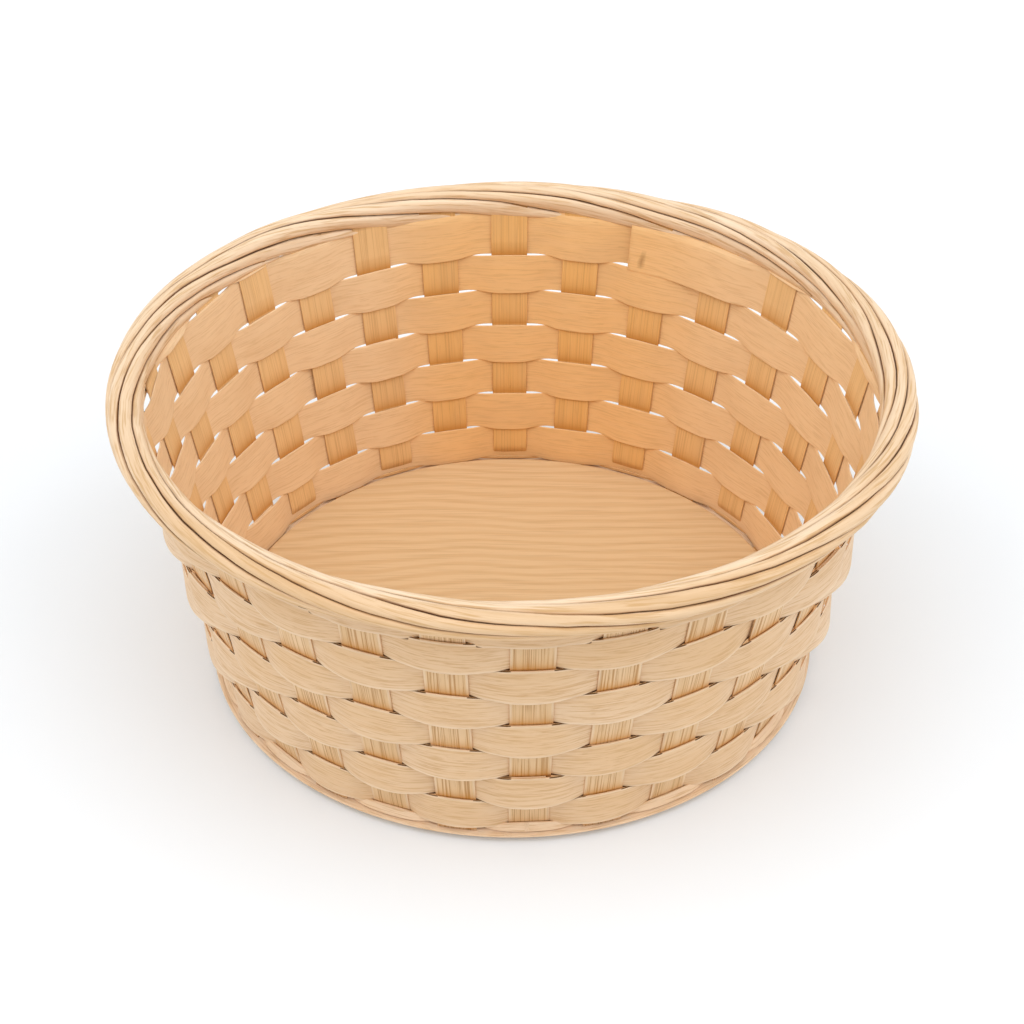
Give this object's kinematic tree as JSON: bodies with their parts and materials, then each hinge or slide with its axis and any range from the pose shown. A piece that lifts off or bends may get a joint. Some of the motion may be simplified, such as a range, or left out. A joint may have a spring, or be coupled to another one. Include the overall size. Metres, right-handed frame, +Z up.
{
  "type": "woven wood-strip bread basket",
  "caption": "Round flared basket woven from flat wood strips, with a rolled rod border and a round base board, for holding dough or bread.",
  "frame": {"origin": "centre of the basket on the surface it stands on", "axes": "+Z up along the basket's axis, -Y towards the picture's viewer, +X to the viewer's right"},
  "size_m": [0.2496, 0.2498, 0.1076],
  "materials": {
    "stake_wood": "bare cut wood strip, matt",
    "strip_wood": "bare cut wood strip, matt",
    "rod_wood": "peeled split rod, satin",
    "hoop_wood": "bare bent wood, matt",
    "board_wood": "sanded bare wood, matt"
  },
  "bodies": {
    "root": {"base_board": "board_wood", "foot_hoop": "hoop_wood", "stake_01": "stake_wood", "stake_02": "stake_wood", "stake_03": "stake_wood", "stake_04": "stake_wood", "stake_05": "stake_wood", "stake_06": "stake_wood", "stake_07": "stake_wood", "stake_08": "stake_wood", "stake_09": "stake_wood", "stake_10": "stake_wood", "stake_11": "stake_wood", "stake_12": "stake_wood", "stake_13": "stake_wood", "stake_14": "stake_wood", "stake_15": "stake_wood", "stake_16": "stake_wood", "stake_17": "stake_wood", "stake_18": "stake_wood", "stake_19": "stake_wood", "stake_20": "stake_wood", "stake_21": "stake_wood", "stake_22": "stake_wood", "stake_23": "stake_wood", "stake_24": "stake_wood", "stake_25": "stake_wood", "stake_26": "stake_wood", "stake_27": "stake_wood", "stake_28": "stake_wood", "weaver_1": "strip_wood", "weaver_2": "strip_wood", "weaver_3": "strip_wood", "weaver_4": "strip_wood", "weaver_5": "strip_wood", "weaver_6": "strip_wood", "weaver_7": "strip_wood", "weaver_top": "strip_wood", "rim_hoop_inner": "hoop_wood", "rim_hoop_outer": "hoop_wood", "border_rod_01": "rod_wood", "border_rod_02": "rod_wood", "border_rod_03": "rod_wood", "border_rod_04": "rod_wood", "border_rod_05": "rod_wood", "border_rod_06": "rod_wood", "border_rod_07": "rod_wood", "border_rod_08": "rod_wood", "border_rod_09": "rod_wood", "border_rod_10": "rod_wood", "border_rod_11": "rod_wood", "border_rod_12": "rod_wood", "border_rod_13": "rod_wood", "border_rod_14": "rod_wood", "border_rod_15": "rod_wood", "border_rod_16": "rod_wood", "border_rod_17": "rod_wood", "border_rod_18": "rod_wood"}
  },
  "joints": []
}
